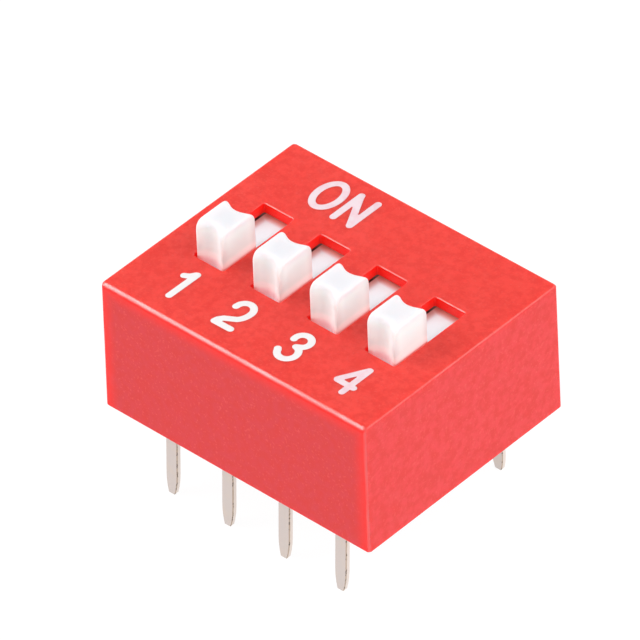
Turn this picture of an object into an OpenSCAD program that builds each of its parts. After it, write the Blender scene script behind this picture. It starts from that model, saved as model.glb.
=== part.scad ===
// Slide switch in a dual in-line housing, with every knob at OFF.
// The origin is the centre of the seating plane, where the housing meets the circuit board.
// X runs along the row of positions, +Y is the ON side and +Z is up. All sizes are in millimetres.

/* [Layout] */
// Number of switch positions
positions = 4; // [1:1:12]
// Distance between neighbouring positions
pitch = 2.54; // [2.2:0.01:3.2]
// Distance between the two rows of terminals at the seating plane
row_spacing = 7.62; // [6.35:0.01:9.2]
// Distance that a knob slides from OFF to ON
travel = 1.68; // [1.4:0.01:2.1]

/* [Housing] */
// Distance from the centre of the outer positions to the end faces, at the seating plane
end_margin = 2.11; // [1.8:0.01:2.6]
// Distance from a row of terminals to the long face beside it, at the seating plane
side_margin = 1.04; // [0.87:0.01:1.4]
// Height of the housing above the seating plane
housing_h = 5.3; // [4.4:0.05:6.5]
// Draft of the four outer walls, in degrees from upright
draft_angle = 0.5; // [0:0.1:1]
// Radius of the four upright edges, at the seating plane
corner_r = 0.12; // [0.12:0.01:0.4]
// Radius of the top face's edge over the front wall, on the OFF side
front_edge_r = 0.2; // [0.05:0.01:0.3]
// Radius of the top face's other three edges
edge_r = 0.08; // [0.05:0.01:0.3]
// Thickness of the cover's top wall
top_t = 0.4; // [0.3:0.01:0.6]
// Thickness of the cover's wall round the base, at the seating plane
skirt_t = 0.65; // [0.5:0.01:0.75]
// Radius of the upright corners of a slot
slot_corner_r = 0.08; // [0.02:0.01:0.2]

/* [Base] */
// Thickness of the base
base_t = 2.05; // [1.6:0.01:2.5]
// Height of the base's underside above the seating plane
base_lift = 0.35; // [0.1:0.01:0.5]
// Radius of the base's upright corners
base_corner_r = 0.3; // [0.1:0.01:0.6]

/* [Knob] */
// Width of a knob, across its sliding direction
knob_w = 1.26; // [1:0.01:1.5]
// Length of a knob, along its sliding direction
knob_l = 1.73; // [1.4:0.01:2.1]
// Height of a knob above the cover
knob_h = 1.45; // [1:0.05:2]
// Radius of a knob's two crowned ends
knob_end_r = 0.44; // [0.2:0.01:0.6]
// Radius of a knob's long top edges and upright edges
knob_edge_r = 0.11; // [0.05:0.01:0.2]
// Width of the upright groove in a knob's end
groove_w = 0.84; // [0.5:0.01:0.95]
// Depth of the upright groove in a knob's end
groove_d = 0.27; // [0.05:0.01:0.3]

/* [Slide plate] */
// Width of the plate under the cover that closes the slot
plate_w = 1.9; // [1.7:0.01:2]
// Thickness of the plate
plate_t = 0.5; // [0.3:0.01:0.6]
// How far the plate reaches past the slot's end when the knob is at the other end
plate_lap = 0.3; // [0.1:0.01:0.4]
// Radius of the plate's upright corners
plate_corner_r = 0.2; // [0.05:0.01:0.5]
// Thickness of the holder's end walls, round the moving contact
holder_wall = 0.3; // [0.2:0.01:0.5]

/* [Moving contact] */
// Width of the moving contact's strip
contact_w = 0.9; // [0.6:0.01:1.1]
// Thickness of the moving contact's strip
contact_t = 0.1; // [0.06:0.01:0.15]
// Height of the moving contact, from its runners to its crown
contact_h = 1.1; // [0.9:0.01:1.3]
// Outer radius of the moving contact's crown
crown_r = 0.36; // [0.2:0.01:0.45]
// Outer radius of the moving contact's two runners
runner_r = 0.28; // [0.18:0.01:0.35]

/* [Terminals] */
// Thickness of the terminal strip
strip_t = 0.2; // [0.15:0.01:0.3]
// Width of a terminal's contact pad
pad_w = 1.2; // [0.9:0.01:1.6]
// How far the front pad reaches past the middle of the housing
pad_lap = 0.25; // [0.15:0.01:0.4]
// Gap between the front pad and the rear pad
pad_split = 0.4; // [0.25:0.01:0.6]
// Distance from the pad's end to the terminal's row, where the strip is as narrow as the pin
neck_l = 0.8; // [0.5:0.01:1.2]
// Inner radius of the terminal's bend
bend_r = 0.15; // [0.1:0.01:0.3]
// Width of a pin
pin_w = 0.46; // [0.4:0.01:0.7]
// Length of a pin below the seating plane
pin_l = 3.3; // [2.5:0.1:4.5]
// Outward lean of a pin below the seating plane, in degrees
pin_splay = 3; // [0:0.5:3.5]
// Length of a pin's tapered tip
tip_l = 0.8; // [0.4:0.05:1.5]
// Width of a pin's end
tip_w = 0.25; // [0.05:0.01:0.3]
// Depth of the detent grooves across the pads
detent_d = 0.05; // [0.02:0.01:0.08]

/* [Clearances] */
// Gap between a knob and the long sides of its slot
slot_side_gap = 0.05; // [0.03:0.01:0.15]
// Gap between a knob and the end of its slot
slot_end_gap = 0.055; // [0.03:0.005:0.15]
// Gap between the slide plate and the cover's top wall
plate_gap = 0.1; // [0.03:0.01:0.12]
// Gap between the slide plate and each side of its channel
plate_side_gap = 0.06; // [0.03:0.01:0.1]
// Gap between the slide plate and the end of its channel
channel_end_gap = 0.1; // [0.05:0.01:0.2]
// Gap between the holder and the base
holder_gap = 0.03; // [0.02:0.01:0.1]
// Gap between the moving contact and the walls of its pocket
pocket_gap = 0.05; // [0.03:0.01:0.1]
// Gap between the moving contact and what it bears on
contact_gap = 0.01; // [0.01:0.01:0.03]
// Gap between the base and the cover's wall round it
base_gap = 0.03; // [0.02:0.01:0.08]
// Gap between a terminal and its groove in the base
strip_gap = 0.02; // [0.01:0.01:0.05]

/* [Hidden] */
$fn = 64;
cut = 0.1;

cover_red = [0.93, 0.2, 0.16];
base_black = [0.09, 0.09, 0.1];
knob_white = [0.96, 0.95, 0.93];
contact_gold = [0.83, 0.66, 0.3];
pin_tin = [0.78, 0.77, 0.75];

housing_l = (positions - 1) * pitch + 2 * end_margin;
housing_w = row_spacing + 2 * side_margin;
slope = tan(draft_angle);

base_l = housing_l - 2 * (skirt_t + base_gap);
base_w = housing_w - 2 * (skirt_t + base_gap);
base_top = base_lift + base_t;
ceiling = housing_h - top_t;

slot_w = knob_w + 2 * slot_side_gap;
slot_l = knob_l + travel + 2 * slot_end_gap;
plate_l = slot_l + travel + 2 * plate_lap;
plate_top = ceiling - plate_gap;
channel_w = plate_w + 2 * plate_side_gap;
channel_l = plate_l + travel + 2 * channel_end_gap;
knob_top = housing_h + knob_h;
groove_r = (groove_w * groove_w / 4 + groove_d * groove_d) / (2 * groove_d);

// The runners stand one travel apart, so both rest on the front pad at OFF,
// and at ON the rear one has crossed to the rear pad.
runner_z = base_top + contact_gap + runner_r;
crown_z = base_top + contact_gap + contact_h - crown_r;
runner_mid_r = runner_r - contact_t / 2;
crown_mid_r = crown_r - contact_t / 2;
centre_dist = norm([travel / 2, crown_z - runner_z]);
leg_lean = atan2(crown_z - runner_z, travel / 2) + asin((crown_mid_r + runner_mid_r) / centre_dist);
leg_l = sqrt(centre_dist * centre_dist - pow(crown_mid_r + runner_mid_r, 2));
runner_lift = 40;
detent_play = 0.1;
pocket_w = contact_w + 2 * pocket_gap;
pocket_l = travel + 2 * runner_r + 2 * pocket_gap;
pocket_top = base_top + contact_h + 2 * contact_gap;
holder_l = pocket_l + 2 * holder_wall;
holder_z = base_top + holder_gap;

row_y = row_spacing / 2;
bend_y = row_y - strip_t / 2 - bend_r;
bend_z = base_top - strip_t - bend_r;
rear_pad_in = pad_lap + pad_split;
detent_r = runner_r + detent_play;
tip_inset = (pin_w - tip_w) / 2;
tip_r = (tip_l * tip_l + tip_inset * tip_inset) / (2 * tip_inset);

// Puts its children at the centre line of position i, counted from 1
module at_position(i) {
    translate([(i - (positions + 1) / 2) * pitch, 0, 0]) children();
}

// Extrudes a profile, drawn as Y across and Z up, along X
module along_x(length) {
    rotate([90, 0, 90]) linear_extrude(length, center = true) children();
}

// Extrudes a profile, drawn as X across and Z up, along Y
module along_y(length) {
    rotate([90, 0, 0]) linear_extrude(length, center = true) children();
}

// A rectangle with round corners, centred
module rounded_rect(size, r) {
    square([size.x - 2 * r, size.y], center = true);
    square([size.x, size.y - 2 * r], center = true);
    for (sx = [-1, 1], sy = [-1, 1])
        translate([sx * (size.x / 2 - r), sy * (size.y / 2 - r)]) circle(r);
}

// A slab with round upright corners, from z up
module slab(size, r, z) {
    translate([0, 0, z]) linear_extrude(size.z) rounded_rect([size.x, size.y], r);
}

// Half of the housing's cross-section, on the side where x is positive: a drafted wall and a rounded edge
module housing_half(half_w, r) {
    mid_x = half_w - slope * (housing_h - r) - r / cos(draft_angle);
    mid_z = housing_h - r;
    polygon([
        [0, 0], [half_w, 0],
        [mid_x + r * cos(draft_angle), mid_z + r * sin(draft_angle)],
        [mid_x, housing_h], [0, housing_h]
    ]);
    translate([mid_x, mid_z]) circle(r);
}

// Cross-section of the housing, with a radius for the top edge on each side
module housing_profile(width, left_r, right_r) {
    housing_half(width / 2, right_r);
    mirror([1, 0]) housing_half(width / 2, left_r);
}

// The housing's block with its four upright edges rounded by tapered posts
module corner_posts() {
    inner_l = housing_l - 2 * corner_r;
    inner_w = housing_w - 2 * corner_r;
    translate([-housing_l / 2, -inner_w / 2, 0]) cube([housing_l, inner_w, housing_h]);
    translate([-inner_l / 2, -housing_w / 2, 0]) cube([inner_l, housing_w, housing_h]);
    for (sx = [-1, 1], sy = [-1, 1])
        translate([sx * inner_l / 2, sy * inner_w / 2, 0])
            cylinder(h = housing_h, r1 = corner_r, r2 = corner_r - slope * housing_h);
}

// The solid block that the cover is cut from: drafted on four sides and rounded at its edges
module housing_block() {
    intersection() {
        along_y(housing_w) housing_profile(housing_l, edge_r, edge_r);
        along_x(housing_l) housing_profile(housing_w, front_edge_r, edge_r);
        corner_posts();
    }
}

module cover() {
    color(cover_red) difference() {
        housing_block();
        // Recess for the base
        slab(
            [housing_l - 2 * skirt_t, housing_w - 2 * skirt_t, base_top + cut],
            base_corner_r + base_gap, -cut
        );
        for (i = [1:positions])
            at_position(i) {
                // Channel for the slide plate, and the slot above it for the knob
                slab([channel_w, channel_l, ceiling - base_top + cut], plate_corner_r, base_top - cut);
                slab([slot_w, slot_l, top_t + 2 * cut], slot_corner_r, ceiling - cut);
            }
    }
}

// Room in the base for one terminal, on the +Y side
module terminal_groove(pad_in) {
    pad_out = row_y - neck_l;
    slit_in = row_y - strip_t / 2 - strip_gap;
    slit_t = strip_t + 2 * strip_gap;
    translate([-pad_w / 2 - strip_gap, pad_in - strip_gap, base_top - strip_t])
        cube([pad_w + 2 * strip_gap, pad_out - pad_in + 2 * strip_gap, strip_t + cut]);
    along_x(pin_w + 2 * strip_gap) {
        translate([pad_out, base_top - strip_t]) square([bend_y - pad_out, strip_t + cut]);
        difference() {
            translate([bend_y, bend_z]) square([slit_in + slit_t - bend_y, base_top - bend_z + cut]);
            translate([bend_y, bend_z]) circle(bend_r);
        }
        translate([slit_in, base_lift - cut]) square([slit_t, bend_z - base_lift + 2 * cut]);
    }
}

module base() {
    color(base_black) difference() {
        slab([base_l, base_w, base_t], base_corner_r, base_lift);
        for (i = [1:positions])
            at_position(i) {
                mirror([0, 1, 0]) terminal_groove(-pad_lap);
                terminal_groove(rear_pad_in);
            }
    }
}

// Outline of a knob from the side: two crowned ends
module knob_side() {
    mid_y = knob_l / 2 - knob_end_r;
    mid_z = knob_top - knob_end_r;
    translate([-knob_l / 2, plate_top - cut]) square([knob_l, mid_z - plate_top + cut]);
    translate([-mid_y, plate_top]) square([2 * mid_y, knob_top - plate_top]);
    for (side = [-1, 1])
        translate([side * mid_y, mid_z]) circle(knob_end_r);
}

// Outline of a knob from its end: two rounded top edges
module knob_front() {
    mid_x = knob_w / 2 - knob_edge_r;
    mid_z = knob_top - knob_edge_r;
    translate([-knob_w / 2, plate_top - cut]) square([knob_w, mid_z - plate_top + cut]);
    translate([-mid_x, plate_top]) square([2 * mid_x, knob_top - plate_top]);
    for (side = [-1, 1])
        translate([side * mid_x, mid_z]) circle(knob_edge_r);
}

// Outline of a knob from above: round corners, and a groove in each end for a pen or a blade
module knob_plan() {
    difference() {
        rounded_rect([knob_w, knob_l], knob_edge_r);
        for (side = [-1, 1])
            translate([0, side * (knob_l / 2 - groove_d + groove_r)]) circle(groove_r);
    }
}

module knob() {
    intersection() {
        along_x(knob_w) knob_side();
        along_y(knob_l) knob_front();
        translate([0, 0, plate_top - cut]) linear_extrude(knob_top - plate_top + cut) knob_plan();
    }
}

module actuator() {
    color(knob_white) translate([0, -travel / 2, 0]) difference() {
        union() {
            knob();
            slab([plate_w, plate_l, plate_t], plate_corner_r, plate_top - plate_t);
            translate([-plate_w / 2, -holder_l / 2, holder_z])
                cube([plate_w, holder_l, plate_top - plate_t / 2 - holder_z]);
        }
        // Pocket for the moving contact
        translate([-pocket_w / 2, -pocket_l / 2, holder_z - cut])
            cube([pocket_w, pocket_l, pocket_top - holder_z + cut]);
    }
}

// A bent stretch of strip: centre-line radius r, thickness t, from angle a1 to a2, less than half a turn
module bent_strip(r, t, a1, a2) {
    reach = 3 * r;
    intersection() {
        difference() {
            circle(r + t / 2);
            circle(r - t / 2);
        }
        polygon([
            [0, 0], reach * [cos(a1), sin(a1)],
            reach * [cos((a1 + a2) / 2), sin((a1 + a2) / 2)], reach * [cos(a2), sin(a2)]
        ]);
    }
}

// Side view of the moving contact: a crown, two legs and two runners with lifted ends
module contact_profile() {
    translate([0, crown_z]) bent_strip(crown_mid_r, contact_t, 90 - leg_lean, 90 + leg_lean);
    for (side = [0, 1])
        mirror([side, 0]) {
            translate([travel / 2, runner_z])
                bent_strip(runner_mid_r, contact_t, -90 - leg_lean, -90 + runner_lift);
            translate([0, crown_z]) rotate(90 - leg_lean)
                translate([crown_mid_r - contact_t / 2, -leg_l]) square([contact_t, leg_l]);
        }
}

module moving_contact() {
    color(contact_gold) translate([0, -travel / 2, 0])
        along_x(contact_w) contact_profile();
}

// Outline of a pin seen from the front: straight sides and a tip that closes in along two arcs
module pin_outline() {
    taper_z = tip_l - pin_l;
    arc_x = tip_r - pin_w / 2;
    translate([-pin_w / 2, taper_z]) square([pin_w, bend_z - taper_z]);
    intersection() {
        translate([-pin_w / 2, -pin_l]) square([pin_w, tip_l]);
        translate([-arc_x, taper_z]) circle(tip_r);
        translate([arc_x, taper_z]) circle(tip_r);
    }
}

// Side view of a pin: upright through the base, and leaning out below it
module pin_profile() {
    translate([row_y - strip_t / 2, 0]) square([strip_t, bend_z]);
    translate([row_y, 0]) {
        circle(strip_t / 2);
        rotate(pin_splay) translate([-strip_t / 2, -pin_l - strip_t]) square([strip_t, pin_l + strip_t]);
    }
}

// A terminal on the +Y side, with a detent groove across its pad at each place in the list
module terminal(pad_in, detents) {
    pad_out = row_y - neck_l;
    color(pin_tin) {
        difference() {
            translate([-pad_w / 2, pad_in, base_top - strip_t]) cube([pad_w, pad_out - pad_in, strip_t]);
            for (y = detents)
                translate([0, y, base_top + detent_r - detent_d]) rotate([0, 90, 0])
                    cylinder(h = pad_w + 2 * cut, r = detent_r, center = true);
        }
        along_x(pin_w) {
            translate([pad_out - cut, base_top - strip_t]) square([bend_y - pad_out + cut, strip_t]);
            translate([bend_y, bend_z]) intersection() {
                difference() {
                    circle(bend_r + strip_t);
                    circle(bend_r);
                }
                square(bend_r + strip_t);
            }
        }
        intersection() {
            along_x(pin_w) pin_profile();
            translate([0, row_y, 0]) along_y(pin_l) pin_outline();
        }
    }
}

module front_terminal() {
    mirror([0, 1, 0]) terminal(-pad_lap, [0, travel]);
}

module rear_terminal() {
    terminal(rear_pad_in, [travel]);
}

cover();
base();
for (i = [1:positions]) {
    at_position(i) actuator();
    at_position(i) moving_contact();
    at_position(i) front_terminal();
    at_position(i) rear_terminal();
}
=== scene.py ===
"""Looks of a four-position slide switch block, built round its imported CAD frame.

Blender works in metres here. The switch's sizes are written as a number of millimetres times MM,
and the studio's lights and floor are in plain metres.
X runs along the row of positions, +Y is the ON side, and +Z is up, out of the slots.
"""

import math

import bmesh
import bpy
from mathutils import Matrix, Vector


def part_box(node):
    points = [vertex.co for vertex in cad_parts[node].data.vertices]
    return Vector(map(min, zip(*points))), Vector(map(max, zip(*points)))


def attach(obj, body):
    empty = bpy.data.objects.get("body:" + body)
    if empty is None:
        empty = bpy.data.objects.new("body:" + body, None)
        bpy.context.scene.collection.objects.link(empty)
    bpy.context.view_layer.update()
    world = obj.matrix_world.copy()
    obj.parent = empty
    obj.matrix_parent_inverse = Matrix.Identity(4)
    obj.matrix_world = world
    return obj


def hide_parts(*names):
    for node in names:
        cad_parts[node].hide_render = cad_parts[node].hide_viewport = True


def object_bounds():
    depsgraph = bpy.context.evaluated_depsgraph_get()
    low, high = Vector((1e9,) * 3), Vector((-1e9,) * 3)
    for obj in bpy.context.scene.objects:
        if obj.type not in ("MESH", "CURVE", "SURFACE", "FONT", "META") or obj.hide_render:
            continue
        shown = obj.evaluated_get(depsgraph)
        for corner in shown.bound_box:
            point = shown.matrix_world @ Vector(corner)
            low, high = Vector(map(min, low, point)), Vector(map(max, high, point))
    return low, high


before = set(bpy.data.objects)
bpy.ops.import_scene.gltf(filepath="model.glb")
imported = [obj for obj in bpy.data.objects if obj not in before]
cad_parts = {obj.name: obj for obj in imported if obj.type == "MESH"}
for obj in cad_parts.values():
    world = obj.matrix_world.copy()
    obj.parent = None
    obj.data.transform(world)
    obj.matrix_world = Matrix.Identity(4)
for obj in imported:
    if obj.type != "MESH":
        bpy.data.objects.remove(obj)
cad_low, cad_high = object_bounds()

MM = 0.001

# Sizes the CAD model has too
DRAFT = math.radians(0.5)
CORNER_R = 0.12 * MM
EDGE_R = 0.08 * MM
FRONT_EDGE_R = 0.2 * MM
TOP_T = 0.4 * MM
SKIRT_T = 0.65 * MM
BASE_CORNER_R = 0.33 * MM
SLOT_W = 1.36 * MM
SLOT_L = 3.52 * MM
SLOT_CORNER_R = 0.08 * MM
CHANNEL_W = 2.02 * MM
CHANNEL_L = 7.68 * MM
CHANNEL_CORNER_R = 0.2 * MM
KNOB_W = 1.26 * MM
KNOB_L = 1.73 * MM
KNOB_H = 1.45 * MM
KNOB_END_R = 0.44 * MM
KNOB_EDGE_R = 0.11 * MM
GROOVE_W = 0.84 * MM
GROOVE_D = 0.27 * MM
PLATE_W = 1.9 * MM
PLATE_L = 5.8 * MM
PLATE_T = 0.5 * MM
PLATE_CORNER_R = 0.2 * MM
ROW_Y = 3.81 * MM
PIN_LEAN = math.radians(3)
PLATE_GAP = 0.1 * MM
POCKET_W = 1.0 * MM
POCKET_L = 2.34 * MM
POCKET_TOP = 3.52 * MM
HOLDER_L = 2.94 * MM

# Softness that a mould leaves on edges which the CAD model has sharp
SLOT_RIM_R = 0.045 * MM
FOOT_R = 0.04 * MM
KNOB_SOFTEN = 0.08 * MM
GROOVE_SOFTEN = 0.34 * MM
GROOVE_RIM = 0.18 * MM
PLATE_EDGE_R = 0.04 * MM
HOLDER_CORNER_R = 0.03 * MM
POCKET_CORNER_R = 0.02 * MM

# How far a cutting or joined shape reaches past the face it goes through
OVERSHOOT = 0.1 * MM

# How finely the shapes are divided
CORNER_STEPS = 8
EDGE_STEPS = 8
SLOT_CORNER_STEPS = 6
SLOT_RIM_STEPS = 5
PLATE_EDGE_STEPS = 4
HOLDER_CORNER_STEPS = 3
KNOB_CUTS = 37
KNOB_HALVINGS = 24

# Edges sharper than these angles, in degrees, stay sharp
COVER_SHARP = 35
SLIDE_SHARP = 50

POSITIONS = range(1, 5)


# ---------------------------------------------------------------- mesh helpers


def add_object(name, bm):
    """Turns a bmesh into an object of the scene."""
    mesh = bpy.data.meshes.new(name)
    bm.to_mesh(mesh)
    bm.free()
    obj = bpy.data.objects.new(name, mesh)
    bpy.context.scene.collection.objects.link(obj)
    return obj


def rounded_ring(half_x, half_y, radius, z, steps):
    """Points of a rectangle with round corners, anticlockwise from above."""
    points = []
    for quarter in range(4):
        turn = quarter * math.pi / 2
        sign_x, sign_y = ((1, 1), (-1, 1), (-1, -1), (1, -1))[quarter]
        centre = Vector((sign_x * (half_x - radius), sign_y * (half_y - radius), z))
        for step in range(steps + 1):
            angle = turn + step / steps * math.pi / 2
            points.append(centre + radius * Vector((math.cos(angle), math.sin(angle), 0)))
    return points


def quarter_turns(steps):
    """Angles from nought to a quarter turn, in equal steps."""
    return [step / steps * math.pi / 2 for step in range(steps + 1)]


def loft(rings):
    """A closed solid through a stack of rings that have equally many points."""
    bm = bmesh.new()
    rows = [[bm.verts.new(point) for point in ring] for ring in rings]
    count = len(rows[0])
    for low, high in zip(rows, rows[1:]):
        for i in range(count):
            j = (i + 1) % count
            bm.faces.new((low[i], low[j], high[j], high[i]))
    bm.faces.new(reversed(rows[0]))
    bm.faces.new(rows[-1])
    return bm


def slab(name, size, radius, z0, z1, centre=(0, 0), steps=SLOT_CORNER_STEPS):
    """A block with round upright corners from z0 to z1."""
    rings = [rounded_ring(size[0] / 2, size[1] / 2, radius, z, steps) for z in (z0, z1)]
    bm = loft(rings)
    bmesh.ops.translate(bm, verts=bm.verts, vec=(*centre, 0))
    return add_object(name, bm)


def apply_modifiers(obj):
    """Replaces the object's mesh with what its modifiers make of it."""
    graph = bpy.context.evaluated_depsgraph_get()
    made = bpy.data.meshes.new_from_object(obj.evaluated_get(graph))
    old = obj.data
    obj.modifiers.clear()
    obj.data = made
    bpy.data.meshes.remove(old)


def combine(obj, tools, operation):
    """Cuts the tools out of obj, or adds them to it, and removes them."""
    for tool in tools:
        modifier = obj.modifiers.new("combine", "BOOLEAN")
        modifier.operation = operation
        modifier.solver = "EXACT"
        modifier.object = tool
    apply_modifiers(obj)
    for tool in tools:
        bpy.data.objects.remove(tool)


def smooth_shading(obj, sharp_angle):
    """Smooth shading with flat faces kept flat, and edges over the angle kept sharp."""
    obj.data.shade_smooth()
    obj.data.set_sharp_from_angle(angle=math.radians(sharp_angle))
    modifier = obj.modifiers.new("weighted_normals", "WEIGHTED_NORMAL")
    modifier.keep_sharp = True
    modifier.weight = 100


# --------------------------------------------------------------------- camera

CAMERA_AZIMUTH = math.radians(43.52)
CAMERA_ELEVATION = math.radians(40.12)
CAMERA_ROLL = math.radians(-2.47)
CAMERA_DISTANCE = 330 * MM
VIEW_WIDTH = 21.31 * MM
# The aim point, from the middle of the housing: to the camera's right and up
AIM_RIGHT = -0.371 * MM
AIM_UP = 0.784 * MM
AIM_HEIGHT = 2.7 * MM
SENSOR = 36
CLIP_END = 100


def add_camera():
    """The camera at the photo's angle, with a long lens."""
    back = Vector((
        math.sin(CAMERA_AZIMUTH) * math.cos(CAMERA_ELEVATION),
        -math.cos(CAMERA_AZIMUTH) * math.cos(CAMERA_ELEVATION),
        math.sin(CAMERA_ELEVATION),
    ))
    level_right = Vector((math.cos(CAMERA_AZIMUTH), math.sin(CAMERA_AZIMUTH), 0))
    level_up = back.cross(level_right)
    right = math.cos(CAMERA_ROLL) * level_right + math.sin(CAMERA_ROLL) * level_up
    up = math.cos(CAMERA_ROLL) * level_up - math.sin(CAMERA_ROLL) * level_right
    aim = Vector((0, 0, AIM_HEIGHT)) + AIM_RIGHT * right + AIM_UP * up

    data = bpy.data.cameras.new("camera")
    data.sensor_width = SENSOR
    data.lens = SENSOR * CAMERA_DISTANCE / VIEW_WIDTH
    data.clip_start = CAMERA_DISTANCE / 100
    data.clip_end = CLIP_END
    camera = bpy.data.objects.new("camera", data)
    axes = Matrix((right, up, back)).transposed()
    camera.matrix_world = Matrix.Translation(aim + CAMERA_DISTANCE * back) @ axes.to_4x4()
    bpy.context.scene.collection.objects.link(camera)
    bpy.context.scene.camera = camera


# ------------------------------------------------------------------ materials


class Nodes:
    """A material's node tree, with short calls to add to it."""

    def __init__(self, name):
        self.material = bpy.data.materials.new(name)
        self.material.use_nodes = True
        self.tree = self.material.node_tree
        self.shader = self.tree.nodes["Principled BSDF"]
        self.where = self.tree.nodes.new("ShaderNodeTexCoord").outputs["Object"]

    def link(self, source, target):
        """Joins a socket, or sets a plain value."""
        if isinstance(source, bpy.types.NodeSocket):
            self.tree.links.new(source, target)
        elif target.type == "RGBA" and len(source) == 3:
            target.default_value = (*source, 1)
        else:
            target.default_value = source

    def set(self, **values):
        """Sets sockets of the shader: base_color=..., roughness=..."""
        for name, value in values.items():
            wanted = name.replace("_", " ").lower()
            socket = next(s for s in self.shader.inputs if s.name.lower() == wanted)
            self.link(value, socket)

    def math(self, operation, a, b=0.0, c=0.0):
        """One sum on up to three values or sockets."""
        node = self.tree.nodes.new("ShaderNodeMath")
        node.operation = operation
        for value, socket in zip((a, b, c), node.inputs):
            self.link(value, socket)
        return node.outputs[0]

    def plus(self, a, b):
        return self.math("ADD", a, b)

    def minus(self, a, b):
        return self.math("SUBTRACT", a, b)

    def times(self, a, b):
        return self.math("MULTIPLY", a, b)

    def smaller(self, a, b):
        return self.math("MINIMUM", a, b)

    def larger(self, a, b):
        return self.math("MAXIMUM", a, b)

    def absolute(self, a):
        return self.math("ABSOLUTE", a)

    def noise(self, feature, detail=2.0, roughness=0.5, stretch=(1, 1, 1)):
        """Noise from 0 to 1 whose features are about that many metres across."""
        mapping = self.tree.nodes.new("ShaderNodeMapping")
        mapping.inputs["Scale"].default_value = stretch
        self.link(self.where, mapping.inputs["Vector"])
        node = self.tree.nodes.new("ShaderNodeTexNoise")
        node.inputs["Scale"].default_value = 1 / feature
        node.inputs["Detail"].default_value = detail
        node.inputs["Roughness"].default_value = roughness
        self.link(mapping.outputs[0], node.inputs["Vector"])
        return node.outputs["Fac"]

    def ramp(self, value, low, high, to_low=0.0, to_high=1.0):
        """Maps low..high smoothly to to_low..to_high."""
        node = self.tree.nodes.new("ShaderNodeMapRange")
        node.interpolation_type = "SMOOTHSTEP"
        for given, socket in zip((value, low, high, to_low, to_high), node.inputs):
            self.link(given, socket)
        return node.outputs[0]

    def mix(self, factor, a, b):
        """Mixes two colours."""
        node = self.tree.nodes.new("ShaderNodeMix")
        node.data_type = "RGBA"
        node.clamp_factor = True
        self.link(factor, node.inputs["Factor"])
        # The node has a set of sockets for each data type: these are the colours
        self.link(a, node.inputs[6])
        self.link(b, node.inputs[7])
        return node.outputs[2]

    def axis(self, vector):
        """The three parts of a vector."""
        node = self.tree.nodes.new("ShaderNodeSeparateXYZ")
        self.link(vector, node.inputs[0])
        return node.outputs

    def normal(self):
        """The way the surface faces. No piece ever turns, so it is the same in the object's frame."""
        geometry = self.tree.nodes.new("ShaderNodeNewGeometry")
        return geometry.outputs["Normal"]

    def bump(self, height, depth, strength=1.0):
        """A bump whose full height is depth metres."""
        node = self.tree.nodes.new("ShaderNodeBump")
        node.inputs["Strength"].default_value = strength
        node.inputs["Distance"].default_value = depth
        self.link(height, node.inputs["Height"])
        self.link(node.outputs[0], self.shader.inputs["Normal"])


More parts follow.
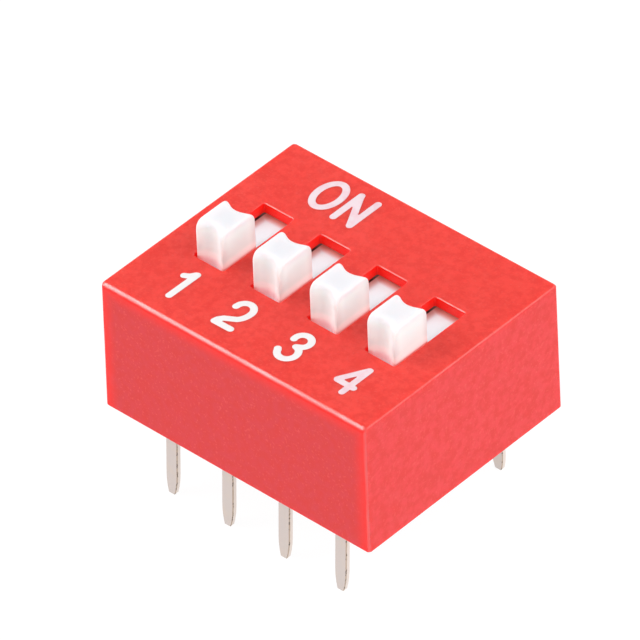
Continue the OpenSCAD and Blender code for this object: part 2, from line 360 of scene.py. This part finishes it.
def cover_plastic():
    """Red moulded plastic: a faint mould grain and clouds of pigment, with painted light and shade:
    walls darker than the top, and a painted glow along the long walls' edges and inside the slots.
    """
    nodes = Nodes("cover_plastic")
    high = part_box("cover")[1]
    x, y, z = nodes.axis(nodes.where)
    to_x = nodes.minus(high.x, nodes.absolute(x))
    to_y = nodes.minus(high.y, nodes.absolute(y))
    to_top = nodes.minus(high.z, z)
    # On a long wall to_y is nought, so the nearest edge is the nearer of the other two
    to_wall = nodes.smaller(to_x, to_y)
    to_edge = nodes.smaller(nodes.larger(to_x, to_y), to_top)
    within = nodes.ramp(to_wall, 0.25 * MM, 0.35 * MM)
    outside = nodes.minus(1.0, within)

    # Rounded edges are the places where the surface faces between two of its main directions
    face_x, face_y, up = nodes.axis(nodes.normal())
    rounded = nodes.times(nodes.ramp(up, 0.45, 0.7), nodes.ramp(up, 0.93, 0.985, 1.0, 0.0))
    # Those that face along the row are duller, above all the rims of the slots
    sideways = nodes.ramp(nodes.absolute(face_x), 0.2, 0.5)
    dulled = nodes.times(sideways, nodes.ramp(within, 0.0, 1.0, 0.5, 0.9))
    rounded = nodes.times(rounded, nodes.minus(1.0, dulled))
    turned = nodes.smaller(nodes.absolute(face_x), nodes.absolute(face_y))
    upright_edge = nodes.times(nodes.ramp(turned, 0.2, 0.5, 0.0, 0.7), outside)
    polished = nodes.larger(rounded, upright_edge)
    worn = nodes.ramp(nodes.noise(1.5 * MM, detail=2), 0.35, 0.65, 0.65, 1.0)

    # The colour of each kind of face, in clouds. Painted shade: the walls are painted darker than the
    # top, and the long walls darker still, for how the light falls on them
    flat_top = nodes.ramp(up, 0.3, 0.9)
    long_wall = nodes.times(nodes.ramp(nodes.absolute(face_y), 0.5, 0.9), outside)
    cloud = nodes.ramp(nodes.noise(2.5 * MM, detail=3, roughness=0.6), 0.35, 0.7)
    wall = nodes.mix(cloud, (0.76, 0.0355, 0.0395), (0.775, 0.0415, 0.0465))
    wall = nodes.mix(long_wall, wall, (0.665, 0.0245, 0.034))
    top = nodes.mix(cloud, (0.82, 0.0525, 0.037), (0.84, 0.063, 0.047))
    body = nodes.mix(flat_top, wall, top)
    # Finer, deeper mottling, and pale specks
    mottle = nodes.noise(0.3 * MM, detail=3, roughness=0.65)
    deep = nodes.mix(flat_top, (0.66, 0.026, 0.018), (0.70, 0.027, 0.019))
    body = nodes.mix(nodes.ramp(mottle, 0.35, 0.65, 0.0, 0.6), body, deep)
    speck = nodes.noise(0.09 * MM, detail=1)
    body = nodes.mix(nodes.ramp(speck, 0.58, 0.75, 0.0, 0.45), body, (0.80, 0.095, 0.08))
    # Painted glow: the long walls' colour is painted richer along their edges, for the light that comes
    # through from the side
    rim = nodes.times(nodes.ramp(to_edge, 0.05 * MM, 0.7 * MM, 1.0, 0.0), long_wall)
    body = nodes.mix(rim, body, (0.85, 0.013, 0.010))
    # Painted light: inside the slots the colour is painted a brighter, deeper red, for the red light
    # that bounces between the slot's walls
    inside = nodes.times(within, nodes.ramp(up, 0.1, 0.5, 1.0, 0.0))
    body = nodes.mix(inside, body, (0.97, 0.014, 0.008))
    # Light that comes through the thin cover makes the foot of a slot's wall glow
    lit_foot = nodes.times(inside, nodes.ramp(to_top, 0.0, TOP_T))
    nodes.set(
        base_color=body,
        roughness=nodes.ramp(nodes.noise(0.3 * MM), 0.3, 0.7, 0.40, 0.50),
        specular_ior_level=0.35,
        subsurface_weight=0.9,
        subsurface_scale=0.3 * MM,
        subsurface_radius=(1.0, 0.06, 0.04),
        coat_weight=nodes.times(polished, worn),
        coat_roughness=0.24,
        coat_ior=2.05,
        emission_color=(1.0, 0.02, 0.01),
        emission_strength=nodes.times(lit_foot, 0.09),
    )
    nodes.bump(nodes.noise(0.06 * MM, detail=2), 0.0015 * MM, 0.6)
    return nodes.material


def base_plastic():
    """Black glass-filled plastic with a fine grain."""
    nodes = Nodes("base_plastic")
    grain = nodes.noise(0.12 * MM, detail=3)
    fibres = nodes.ramp(grain, 0.4, 0.75)
    nodes.set(
        base_color=nodes.mix(fibres, (0.016, 0.016, 0.018), (0.04, 0.04, 0.043)),
        roughness=nodes.ramp(grain, 0.3, 0.7, 0.45, 0.62),
    )
    nodes.bump(grain, 0.004 * MM, 0.7)
    return nodes.material


def actuator_plastic():
    """White, slightly translucent nylon, with painted light and shade: the crown darker than the sides,
    a warm glow at a knob's foot and a painted shadow on the plate beside the slots.
    """
    nodes = Nodes("actuator_plastic")
    x, y, z = nodes.axis(nodes.where)
    height = nodes.minus(z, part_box("cover")[1].z)
    # Distance from the middle of the slide: the positions stand symmetrically, one pitch apart
    first, second = centre_of("actuator_1"), centre_of("actuator_2")
    pitch = second.x - first.x
    turns = nodes.math("DIVIDE", nodes.minus(x, first.x), pitch)
    off_middle = nodes.absolute(nodes.minus(turns, nodes.math("ROUND", turns)))
    aside = nodes.times(off_middle, pitch)
    along = nodes.absolute(nodes.minus(y, first.y))
    # Over the whole travel the slot shows a stretch of plate that is centred on the knob
    reach = SLOT_L / 2 - first.y
    below_top = nodes.ramp(height, -0.1 * MM, 0.0, 1.0, 0.0)
    plate_level = (-0.45 * MM, -0.3 * MM)

    # Painted light: the crown is painted darker than the sides for the stronger light on top, and the
    # sides and plate are painted less red, against the red light from the cover
    cloud = nodes.noise(0.6 * MM, detail=2)
    crown = nodes.mix(cloud, (0.765, 0.77, 0.80), (0.785, 0.79, 0.82))
    side = nodes.mix(cloud, (0.805, 0.92, 0.91), (0.825, 0.94, 0.93))
    plate = nodes.mix(cloud, (0.82, 0.93, 0.975), (0.84, 0.95, 0.99))
    body = nodes.mix(nodes.ramp(height, 1.0 * MM, 1.4 * MM), side, crown)
    body = nodes.mix(below_top, body, plate)
    # Painted shade: the knob's upright corners are painted a little darker
    painted_corner_shade = nodes.times(
        nodes.ramp(aside, KNOB_W / 2 - 0.3 * MM, KNOB_W / 2),
        nodes.ramp(along, KNOB_L / 2 - 0.4 * MM, KNOB_L / 2),
    )
    body = nodes.mix(painted_corner_shade, body, (0.68, 0.72, 0.72))
    # Painted shade on the plate along the slot's walls, reddened for the light the red walls throw on
    # it
    beside = nodes.ramp(aside, SLOT_W / 2 - 0.35 * MM, SLOT_W / 2, 0.0, 0.6)
    beyond = nodes.ramp(along, reach - 0.3 * MM, reach, 0.0, 0.9)
    painted_wall_shade = nodes.larger(beside, beyond)
    body = nodes.mix(nodes.times(painted_wall_shade, below_top), body, (0.62, 0.16, 0.11))
    # Painted shadow: a dark band where the plate runs under the slot's side walls, for the shaded gap
    # there
    painted_gap_shadow = nodes.ramp(aside, SLOT_W / 2 - 0.03 * MM, SLOT_W / 2 + 0.01 * MM)
    body = nodes.mix(painted_gap_shadow, body, (0.03, 0.015, 0.013))

    # The red cover passes some light on to the foot of a knob and to the plate at the slot's ends
    glow = nodes.times(
        nodes.ramp(height, -0.05 * MM, 0.35 * MM, 1.0, 0.0),
        nodes.ramp(height, *plate_level, nodes.times(beyond, 0.35), 1.0),
    )
    # Light that has entered higher up comes out again on the plate away from the painted shade along
    # the walls, and in the knob's lower part, most of all in its grooves
    on_plate = nodes.times(
        nodes.ramp(height, *plate_level, 1.0, 0.0),
        nodes.ramp(painted_wall_shade, 0.0, 0.5, 1.0, 0.0),
    )
    in_groove = nodes.times(
        nodes.ramp(aside, GROOVE_W / 2 - 0.15 * MM, GROOVE_W / 2 + 0.05 * MM, 1.0, 0.0),
        nodes.ramp(along, KNOB_L / 2 - GROOVE_D, KNOB_L / 2 - 0.1 * MM),
    )
    low_on_knob = nodes.times(
        nodes.ramp(height, 0.2 * MM, 1.1 * MM, 1.0, 0.0),
        nodes.ramp(height, -0.05 * MM, 0.1 * MM),
    )
    bled = nodes.times(low_on_knob, nodes.math("MULTIPLY_ADD", in_groove, 0.06, 0.07))
    glow_tint = nodes.mix(on_plate, (1.0, 0.6, 0.55), (0.6, 0.9, 1.0))
    glow_tint = nodes.mix(glow, glow_tint, (1.0, 0.22, 0.2))
    strength = nodes.math("MULTIPLY_ADD", on_plate, 0.07, bled)
    strength = nodes.math("MULTIPLY_ADD", glow, 0.24, strength)
    nodes.set(
        base_color=body,
        roughness=nodes.ramp(nodes.noise(0.15 * MM), 0.3, 0.7, 0.36, 0.5),
        subsurface_weight=nodes.ramp(height, 0.1 * MM, 0.9 * MM),
        subsurface_scale=0.55 * MM,
        subsurface_radius=(1.0, 0.85, 0.8),
        emission_color=glow_tint,
        emission_strength=strength,
    )
    nodes.bump(nodes.noise(0.08 * MM, detail=2), 0.002 * MM, 0.5)
    return nodes.material


def contact_metal():
    """Gold-plated spring bronze."""
    nodes = Nodes("contact_metal")
    rolled = nodes.noise(0.05 * MM, stretch=(0.15, 1, 1))
    nodes.set(
        base_color=nodes.mix(rolled, (0.83, 0.58, 0.22), (0.90, 0.68, 0.30)),
        metallic=1.0,
        roughness=nodes.ramp(rolled, 0.3, 0.7, 0.22, 0.34),
    )
    return nodes.material


def terminal_metal():
    """Dull tin plate. Where a die cut the strip, a brown burr with dark pits runs along the edge."""
    nodes = Nodes("terminal_metal")
    _, y, z = nodes.axis(nodes.where)
    across, _, _ = nodes.axis(nodes.normal())
    sheared = nodes.ramp(nodes.absolute(across), 0.55, 0.8)
    # How far towards -Y a point lies from the middle of the leaning strip
    lean = nodes.larger(nodes.times(z, -math.tan(PIN_LEAN)), 0.0)
    middle = nodes.times(nodes.math("SIGN", y), nodes.plus(lean, ROW_Y))
    beyond = nodes.minus(middle, y)
    wander = nodes.times(nodes.noise(0.25 * MM, detail=2), 0.05 * MM)
    burr = nodes.ramp(nodes.plus(beyond, wander), 0.035 * MM, 0.085 * MM)
    streak = nodes.noise(0.05 * MM, detail=3, stretch=(1, 1, 0.12))
    patch = nodes.noise(0.5 * MM, detail=2)
    spots = nodes.noise(0.11 * MM, detail=2, roughness=0.7)
    tin = nodes.mix(streak, (0.62, 0.545, 0.51), (0.68, 0.61, 0.575))
    tin = nodes.mix(nodes.ramp(patch, 0.45, 0.75, 0.0, 0.6), tin, (0.68, 0.585, 0.515))
    bare = nodes.mix(streak, (0.78, 0.69, 0.63), (0.83, 0.75, 0.69))
    brown = nodes.mix(nodes.ramp(spots, 0.55, 0.62), (0.50, 0.38, 0.29), (0.03, 0.018, 0.012))
    edge = nodes.mix(burr, bare, brown)
    nodes.set(
        base_color=nodes.mix(sheared, tin, edge),
        metallic=0.8,
        roughness=nodes.ramp(streak, 0.3, 0.7, 0.42, 0.55),
    )
    nodes.bump(spots, 0.003 * MM, 0.5)
    return nodes.material


def print_ink(name, colour, thin_colour):
    """White ink, thinner in places so that the red shows through."""
    nodes = Nodes(name)
    thin = nodes.noise(0.35 * MM, detail=3, roughness=0.6)
    nodes.set(
        base_color=nodes.mix(nodes.ramp(thin, 0.4, 0.7), colour, thin_colour),
        roughness=0.5,
    )
    nodes.bump(nodes.noise(0.05 * MM), 0.001 * MM, 0.5)
    return nodes.material


def floor_paper():
    """A white table lit from below, on which no shadow shows."""
    nodes = Nodes("floor_paper")
    nodes.set(
        base_color=nodes.mix(nodes.noise(30 * MM), (0.09, 0.09, 0.09), (0.11, 0.11, 0.11)),
        roughness=0.8,
        specular_ior_level=0.0,
        emission_color=(1, 1, 1),
        emission_strength=FLOOR_GLOW,
    )
    return nodes.material


# --------------------------------------------------------------------- pieces


def centre_of(node):
    """The middle of a CAD node's box."""
    low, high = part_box(node)
    return (low + high) / 2


def slot_tool(x, low_z, top_z, high_z):
    """The shape of a slot: upright walls that flare out at the top, which rounds the slot's rim."""
    outline = [(0, low_z)]
    for turn in quarter_turns(SLOT_RIM_STEPS):
        drop = SLOT_RIM_R * (1 - math.sin(turn))
        outline.append((SLOT_RIM_R * (1 - math.cos(turn)), top_z - drop))
    outline.append((SLOT_RIM_R, high_z))
    rings = []
    for flare, z in outline:
        half_x, half_y = SLOT_W / 2 + flare, SLOT_L / 2 + flare
        rings.append(rounded_ring(half_x, half_y, SLOT_CORNER_R + flare, z, SLOT_CORNER_STEPS))
    bm = loft(rings)
    bmesh.ops.translate(bm, verts=bm.verts, vec=(x, 0, 0))
    return add_object("slot", bm)


def build_cover():
    """The housing: drafted walls, rounded edges, slots with soft rims, channels, the base's recess."""
    _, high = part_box("cover")
    half_x, half_y, height = high
    slope = math.tan(DRAFT)
    base_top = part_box("base")[1].z
    ceiling = height - TOP_T

    def edge_ring(turn, z_edge, front_r, other_r):
        """One ring of a rounded edge: turn is 0 where it leaves the wall and a quarter at the flat.
        The edge over the front wall has its own radius, and blends into the others at the corners."""
        points = []
        for point in rounded_ring(half_x, half_y, CORNER_R, 0, CORNER_STEPS):
            share = min((point.y + half_y) / CORNER_R, 1)
            radius = front_r + (other_r - front_r) * share
            z = z_edge - math.copysign(radius * (1 - math.sin(turn)), z_edge - height / 2)
            inset_x = slope * z + other_r * (1 - math.cos(turn))
            inset_y = slope * z + (front_r if point.y < 0 else other_r) * (1 - math.cos(turn))
            points.append(Vector((
                math.copysign(abs(point.x) - inset_x, point.x),
                math.copysign(abs(point.y) - inset_y, point.y),
                z,
            )))
        return points

    turns = quarter_turns(EDGE_STEPS)
    rings = [edge_ring(turn, 0, FOOT_R, FOOT_R) for turn in reversed(turns)]
    rings += [edge_ring(turn, height, FRONT_EDGE_R, EDGE_R) for turn in turns]
    cover = add_object("cover_shell", loft(rings))

    recess = (2 * (half_x - SKIRT_T), 2 * (half_y - SKIRT_T))
    tools = [slab("recess", recess, BASE_CORNER_R, -OVERSHOOT, base_top)]
    channel = (CHANNEL_W, CHANNEL_L)
    for i in POSITIONS:
        x = centre_of(f"actuator_{i}").x
        tools.append(slab(
            "channel", channel, CHANNEL_CORNER_R, base_top - OVERSHOOT, ceiling, (x, 0),
        ))
        tools.append(slot_tool(x, ceiling - OVERSHOOT, height, height + OVERSHOOT))
    combine(cover, tools, "DIFFERENCE")

    smooth_shading(cover, COVER_SHARP)
    return cover


def round_box(px, py, half_x, half_y, radius):
    """Signed distance to a rectangle with round corners."""
    qx = abs(px) - half_x + radius
    qy = abs(py) - half_y + radius
    outside = math.hypot(max(qx, 0), max(qy, 0))
    return outside + min(max(qx, qy), 0) - radius


def soft_max(a, b, blend):
    """The larger of two distances, with the crease between them rounded."""
    near = max(blend - abs(a - b), 0)
    return max(a, b) + near * near / (4 * blend)


def knob_field(point, knob_low, knob_top):
    """Below nought inside a knob: crowned ends, rounded edges, and a groove in each end."""
    half_w, half_l = KNOB_W / 2, KNOB_L / 2
    half_h = (knob_top - knob_low) / 2
    z = point.z - (knob_top + knob_low) / 2
    # Below the middle the two profiles go straight down
    up = max(z, 0)
    side = round_box(point.y, up, half_l, half_h, KNOB_END_R)
    front = round_box(point.x, up, half_w, half_h, KNOB_EDGE_R)
    plan = round_box(point.x, point.y, half_w, half_l, KNOB_EDGE_R)
    groove_r = (GROOVE_W ** 2 / 4 + GROOVE_D ** 2) / (2 * GROOVE_D)
    groove_y = half_l - GROOVE_D + groove_r
    groove = groove_r - math.hypot(point.x, abs(point.y) - groove_y)
    shape = soft_max(plan, groove, GROOVE_RIM)
    shape = soft_max(shape, soft_max(side, groove, GROOVE_SOFTEN), KNOB_SOFTEN)
    return max(soft_max(shape, front, KNOB_SOFTEN), knob_low - point.z)


def build_knob_mesh(knob_low, knob_top):
    """A box's grid of points, each moved along its ray from the middle onto the knob's surface."""
    middle = Vector((0, 0, (knob_low + knob_top) / 2))
    half = Vector((KNOB_W / 2, KNOB_L / 2, (knob_top - knob_low) / 2))
    bm = bmesh.new()
    bmesh.ops.create_cube(bm, size=2)
    bmesh.ops.subdivide_edges(bm, edges=bm.edges, cuts=KNOB_CUTS, use_grid_fill=True)
    for vert in bm.verts:
        ray = Vector((vert.co.x * half.x, vert.co.y * half.y, vert.co.z * half.z))
        # Shares of the ray that surely end inside and outside the knob
        near, far = 0.3, 1.2
        for _ in range(KNOB_HALVINGS):
            share = (near + far) / 2
            if knob_field(middle + share * ray, knob_low, knob_top) < 0:
                near = share
            else:
                far = share
        vert.co = middle + near * ray
    return bm


def plate_top_of(node):
    """The height of a slide's sealing plate, which clears the cover from below."""
    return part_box(node)[1].z - KNOB_H - TOP_T - PLATE_GAP


def build_actuator(i, knob_mesh):
    """A slide: the knob, the plate that closes the slot, and the holder of the moving contact."""
    node = f"actuator_{i}"
    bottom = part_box(node)[0].z
    centre = centre_of(node)
    plate_top = plate_top_of(node)

    def plate_ring(inset, z):
        half_x, half_y = PLATE_W / 2 - inset, PLATE_L / 2 - inset
        return rounded_ring(half_x, half_y, PLATE_CORNER_R - inset, z, SLOT_CORNER_STEPS)

    rings = [plate_ring(0, plate_top - PLATE_T)]
    for turn in quarter_turns(PLATE_EDGE_STEPS):
        drop = PLATE_EDGE_R * (1 - math.sin(turn))
        rings.append(plate_ring(PLATE_EDGE_R * (1 - math.cos(turn)), plate_top - drop))
    actuator = add_object(f"slide_{i}", loft(rings))
    holder = slab(
        "holder", (PLATE_W, HOLDER_L), HOLDER_CORNER_R, bottom, plate_top - PLATE_T / 2,
        steps=HOLDER_CORNER_STEPS,
    )
    knob = bpy.data.objects.new("knob", knob_mesh.copy())
    bpy.context.scene.collection.objects.link(knob)
    combine(actuator, [holder, knob], "UNION")
    pocket = slab(
        "pocket", (POCKET_W, POCKET_L), POCKET_CORNER_R, bottom - OVERSHOOT, POCKET_TOP,
        steps=HOLDER_CORNER_STEPS,
    )
    combine(actuator, [pocket], "DIFFERENCE")
    actuator.data.transform(Matrix.Translation((centre.x, centre.y, 0)))
    smooth_shading(actuator, SLIDE_SHARP)
    return actuator


# ------------------------------------------------------------------- printing

STROKE = 0.26 * MM
THIN_STROKE = 0.24 * MM
INK_T = 0.012 * MM
# The film thins to this share of its thickness over this width at its rim
INK_RIM_SHARE = 0.35
INK_EDGE = 0.03 * MM
INK_CELL = 0.025 * MM
# How often a point of the rim is moved nearer to the outline
RIM_MOVES = 3
# Heights and places of the print on the top
FIGURE_Y = -3.95 * MM
WORD_Y = 2.56 * MM
WORD = {"O": -3.06 * MM, "N": -1.84 * MM}
LAST_FIGURE = 4

# Degrees that one piece of a curved stroke spans
ARC_STEP = 8


def arc(centre, radius_x, radius_y, start, end):
    """Points along a stretch of an ellipse, in degrees anticlockwise from +X."""
    steps = max(2, round(abs(end - start) / ARC_STEP))
    points = []
    for step in range(steps + 1):
        angle = math.radians(start + (end - start) * step / steps)
        points.append((centre[0] + radius_x * math.cos(angle), centre[1] + radius_y * math.sin(angle)))
    return points


# Each glyph's strokes, in millimetres from the middle of its foot
GLYPHS = {
    "1": [
        [(0.14, 0.13), (0.16, 1.49)],
        [(-0.17, 1.2), (0.0, 1.29), (0.12, 1.47)],
    ],
    "2": [
        [(-0.31, 1.13)] + arc((0.02, 1.14), 0.33, 0.36, 165, 0)
        + arc((-0.15, 1.12), 0.5, 0.62, 0, -50) + [(-0.22, 0.42), (-0.34, 0.26), (-0.37, 0.13)],
        [(-0.35, 0.13), (0.33, 0.14)],
    ],
    "3": [
        arc((0.04, 1.2), 0.31, 0.31, 195, -50) + [(0.06, 0.86)],
        [(0.06, 0.86)] + arc((0.02, 0.5), 0.35, 0.37, 62, -160) + [(-0.35, 0.42)],
    ],
    "4": [
        [(0.21, 0.12), (0.21, 1.5)],
        [(0.19, 1.5), (-0.35, 0.53)],
        [(-0.33, 0.5), (0.38, 0.5)],
    ],
    "O": [arc((0, 0.875), 0.445, 0.715, 0, 360)],
    "N": [
        [(-0.365, 0.13), (-0.365, 1.55)],
        [(-0.365, 1.52), (0.365, 0.14)],
        [(0.365, 0.13), (0.365, 1.56)],
    ],
}


def stroke_distance(x, y, strokes, width):
    """Signed distance to the ink of a glyph, below nought inside."""
    nearest = 1.0
    for stroke in strokes:
        for (ax, ay), (bx, by) in zip(stroke, stroke[1:]):
            dx, dy = bx - ax, by - ay
            share = ((x - ax) * dx + (y - ay) * dy) / (dx * dx + dy * dy)
            share = min(max(share, 0), 1)
            nearest = min(nearest, math.hypot(x - ax - share * dx, y - ay - share * dy))
    return nearest - width / 2


def build_glyph(name, glyph, foot, z, width):
    """A film of ink: a fine grid cut to the glyph, its rim moved onto the outline and thinned."""
    strokes = [[(x * MM, y * MM) for x, y in stroke] for stroke in GLYPHS[glyph]]
    flat = [point for stroke in strokes for point in stroke]
    low_x = min(x for x, _ in flat) - width
    low_y = min(y for _, y in flat) - width
    across = math.ceil((max(x for x, _ in flat) + width - low_x) / INK_CELL)
    along = math.ceil((max(y for _, y in flat) + width - low_y) / INK_CELL)

    def distance(x, y):
        return stroke_distance(x, y, strokes, width)

    inside = {}
    for i in range(across + 1):
        for j in range(along + 1):
            x, y = low_x + i * INK_CELL, low_y + j * INK_CELL
            if distance(x, y) < INK_CELL / 2:
                inside[i, j] = (x, y)
    cells = []
    for i, j in inside:
        corners = ((i, j), (i + 1, j), (i + 1, j + 1), (i, j + 1))
        if all(corner in inside for corner in corners):
            cells.append(corners)
    uses = {}
    for corners in cells:
        for corner in corners:
            uses[corner] = uses.get(corner, 0) + 1

    bm = bmesh.new()
    top, foot_ring = {}, {}
    step = INK_CELL / 20
    for corner, count in uses.items():
        x, y = inside[corner]
        # A corner that fewer than four cells share lies on the rim
        if count < 4:
            for _ in range(RIM_MOVES):
                here = distance(x, y)
                slope_x = (distance(x + step, y) - distance(x - step, y)) / (2 * step)
                slope_y = (distance(x, y + step) - distance(x, y - step)) / (2 * step)
                steepness = max(slope_x ** 2 + slope_y ** 2, 0.25)
                x -= here * slope_x / steepness
                y -= here * slope_y / steepness
        depth = min(max(-distance(x, y) / INK_EDGE, 0), 1)
        roundness = math.sqrt(1 - (1 - depth) ** 2)
        height = INK_T * (INK_RIM_SHARE + (1 - INK_RIM_SHARE) * roundness)
        top[corner] = bm.verts.new((foot[0] + x, foot[1] + y, z + height))
        foot_ring[corner] = bm.verts.new((foot[0] + x, foot[1] + y, z))
    for corners in cells:
        bm.faces.new([top[corner] for corner in corners])
        bm.faces.new([foot_ring[corner] for corner in reversed(corners)])
    rim = [edge for edge in bm.edges if len(edge.link_faces) == 1]
    lower = {top[corner]: foot_ring[corner] for corner in top}
    for edge in rim:
        a, b = edge.verts
        if a in lower and b in lower:
            bm.faces.new((a, b, lower[b], lower[a]))
    bmesh.ops.recalc_face_normals(bm, faces=bm.faces)
    obj = add_object(name, bm)
    obj.data.shade_smooth()
    return obj


# ------------------------------------------------------------------- lighting

# Brightness of the sky overhead (it is 1 at the horizon), the sine of the elevation from which it
# is as dim as that, and the brightness of the lit table
SKY_OVERHEAD = 0.50
SKY_DIM_FROM = 0.8
FLOOR_GLOW = 0.95
FLOOR_HALF = 1.5
# Each light's direction, the axis it stays square to, its distance, width and height, and brightness.
# The strips stand where the edges at the front and at the right mirror them to the camera.
LIGHTS = {
    "right": ((0.72, 0.28, 0.635), (0, 0, 1), 0.6, (0.6, 0.6), 1.8),
    "left": ((-0.7, -0.55, 0.45), (0, 0, 1), 0.6, (0.45, 0.45), 2.3),
    "front_strip": ((-0.53, -0.25, 0.81), (1, 0, 0), 0.6, (0.15, 0.42), 3.8),
    "side_strip": ((0.644, 0.555, 0.527), (0, 1, 0), 0.6, (0.1, 0.4), 0.6),
}


def add_area_light(name, direction, square_to, distance, size, radiance):
    """A soft light that faces the object. Its brightness is as seen from the front."""
    data = bpy.data.lights.new(name, "AREA")
    data.shape = "RECTANGLE"
    data.size, data.size_y = size
    data.energy = radiance * math.pi * size[0] * size[1]
    light = bpy.data.objects.new(name, data)
    way = Vector(direction).normalized()
    along = way.cross(Vector(square_to)).normalized()
    axes = Matrix((along.cross(way), along, way)).transposed()
    light.matrix_world = Matrix.Translation(way * distance) @ axes.to_4x4()
    light.visible_camera = False
    bpy.context.scene.collection.objects.link(light)


def add_sky():
    """A white sky that dims from the horizon upwards."""
    world = bpy.data.worlds.new("studio")
    world.use_nodes = True
    tree = world.node_tree
    where = tree.nodes.new("ShaderNodeTexCoord")
    axes = tree.nodes.new("ShaderNodeSeparateXYZ")
    dim = tree.nodes.new("ShaderNodeMapRange")
    dim.interpolation_type = "SMOOTHERSTEP"
    dim.inputs["From Min"].default_value = 0.0
    dim.inputs["From Max"].default_value = SKY_DIM_FROM
    dim.inputs["To Min"].default_value = 1.0
    dim.inputs["To Max"].default_value = SKY_OVERHEAD
    tree.links.new(where.outputs["Generated"], axes.inputs[0])
    tree.links.new(axes.outputs[2], dim.inputs["Value"])
    tree.links.new(dim.outputs[0], tree.nodes["Background"].inputs["Strength"])
    tree.nodes["Background"].inputs["Color"].default_value = (1, 1, 1, 1)
    bpy.context.scene.world = world


def add_studio():
    """The sky, the lights, and the table on which the pins stand."""
    add_sky()
    for name, settings in LIGHTS.items():
        add_area_light(name, *settings)

    bm = bmesh.new()
    bmesh.ops.create_grid(bm, x_segments=8, y_segments=8, size=FLOOR_HALF)
    bmesh.ops.translate(bm, verts=bm.verts, vec=(0, 0, cad_low.z))
    floor = add_object("floor", bm)
    floor.data.materials.append(floor_paper())


# -------------------------------------------------------------------- assembly


def dress(node, material):
    """Gives a CAD node's object a better material."""
    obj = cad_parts[node]
    obj.data.materials.clear()
    obj.data.materials.append(material)


def add_print(name, glyph, foot, ink, width=STROKE):
    """Prints one glyph on the cover's top."""
    film = build_glyph(name, glyph, foot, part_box("cover")[1].z, width)
    film.data.materials.append(ink)
    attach(film, "housing")


add_camera()
add_studio()
bpy.context.scene.view_settings.view_transform = "Standard"

cover = build_cover()
cover.data.materials.append(cover_plastic())
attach(cover, "housing")
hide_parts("cover")

dress("base", base_plastic())

# All knobs are alike, so their mesh is made once. It reaches down into the plate
white = actuator_plastic()
knob_low = plate_top_of("actuator_1") - OVERSHOOT
knob_object = add_object("knob_master", build_knob_mesh(knob_low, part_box("actuator_1")[1].z))
for i in POSITIONS:
    slide = build_actuator(i, knob_object.data)
    slide.data.materials.append(white)
    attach(slide, f"slider_{i}")
    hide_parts(f"actuator_{i}")
bpy.data.objects.remove(knob_object)

gold = contact_metal()
tin = terminal_metal()
for i in POSITIONS:
    dress(f"moving_contact_{i}", gold)
    dress(f"front_terminal_{i}", tin)
    dress(f"rear_terminal_{i}", tin)

# The last figure and the word are printed thinner
white_ink = print_ink("white_ink", (0.84, 0.82, 0.82), (0.83, 0.80, 0.805))
pale_ink = print_ink("pale_ink", (0.82, 0.665, 0.71), (0.81, 0.56, 0.62))
for i in POSITIONS:
    foot = (centre_of(f"actuator_{i}").x, FIGURE_Y)
    if i == LAST_FIGURE:
        add_print(f"figure_{i}", str(i), foot, pale_ink, THIN_STROKE)
    else:
        add_print(f"figure_{i}", str(i), foot, white_ink)
for letter, x in WORD.items():
    add_print(f"letter_{letter}", letter, (x, WORD_Y), pale_ink)
